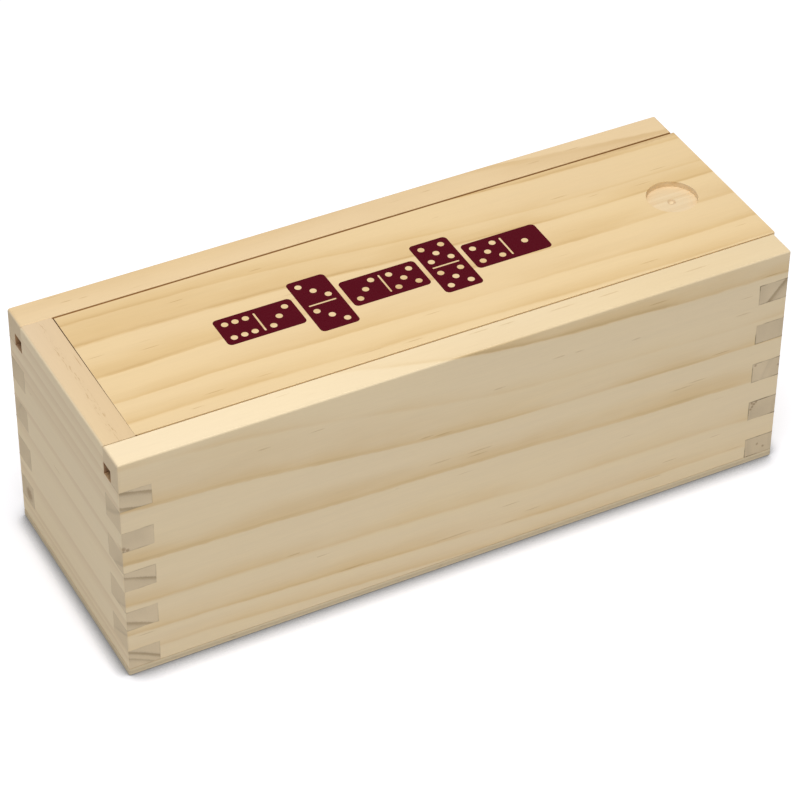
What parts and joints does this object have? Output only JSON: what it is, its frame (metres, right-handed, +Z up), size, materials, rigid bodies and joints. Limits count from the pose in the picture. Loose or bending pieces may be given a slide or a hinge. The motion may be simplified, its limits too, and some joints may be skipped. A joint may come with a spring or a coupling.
{
  "type": "sliding lid box",
  "caption": "Finger-jointed softwood storage box for dominoes, with a sliding lid that runs in grooves and a drilled thumb recess.",
  "frame": {"origin": "centre of the underside of the box, between the outer faces of its four boards", "axes": "+X along the box to the end where the lid comes out, +Y to the back, +Z up"},
  "size_m": [0.1656, 0.06, 0.06],
  "materials": {
    "side_board_pine": "bare planed pine, grain along the box",
    "end_board_pine": "bare planed pine, grain across the end",
    "bottom_plywood": "bare thin plywood",
    "lid_pine": null
  },
  "bodies": {
    "box": {"front_side_board": "side_board_pine", "back_side_board": "side_board_pine", "closed_end_board": "end_board_pine", "open_end_board": "end_board_pine", "bottom_panel": "bottom_plywood"},
    "lid": {"sliding_lid": "lid_pine"}
  },
  "joints": [
    {"name": "lid_slide", "type": "slide", "parent": "box", "child": "lid", "axis": [1, 0, 0], "range_m": [0, 0.161]}
  ]
}
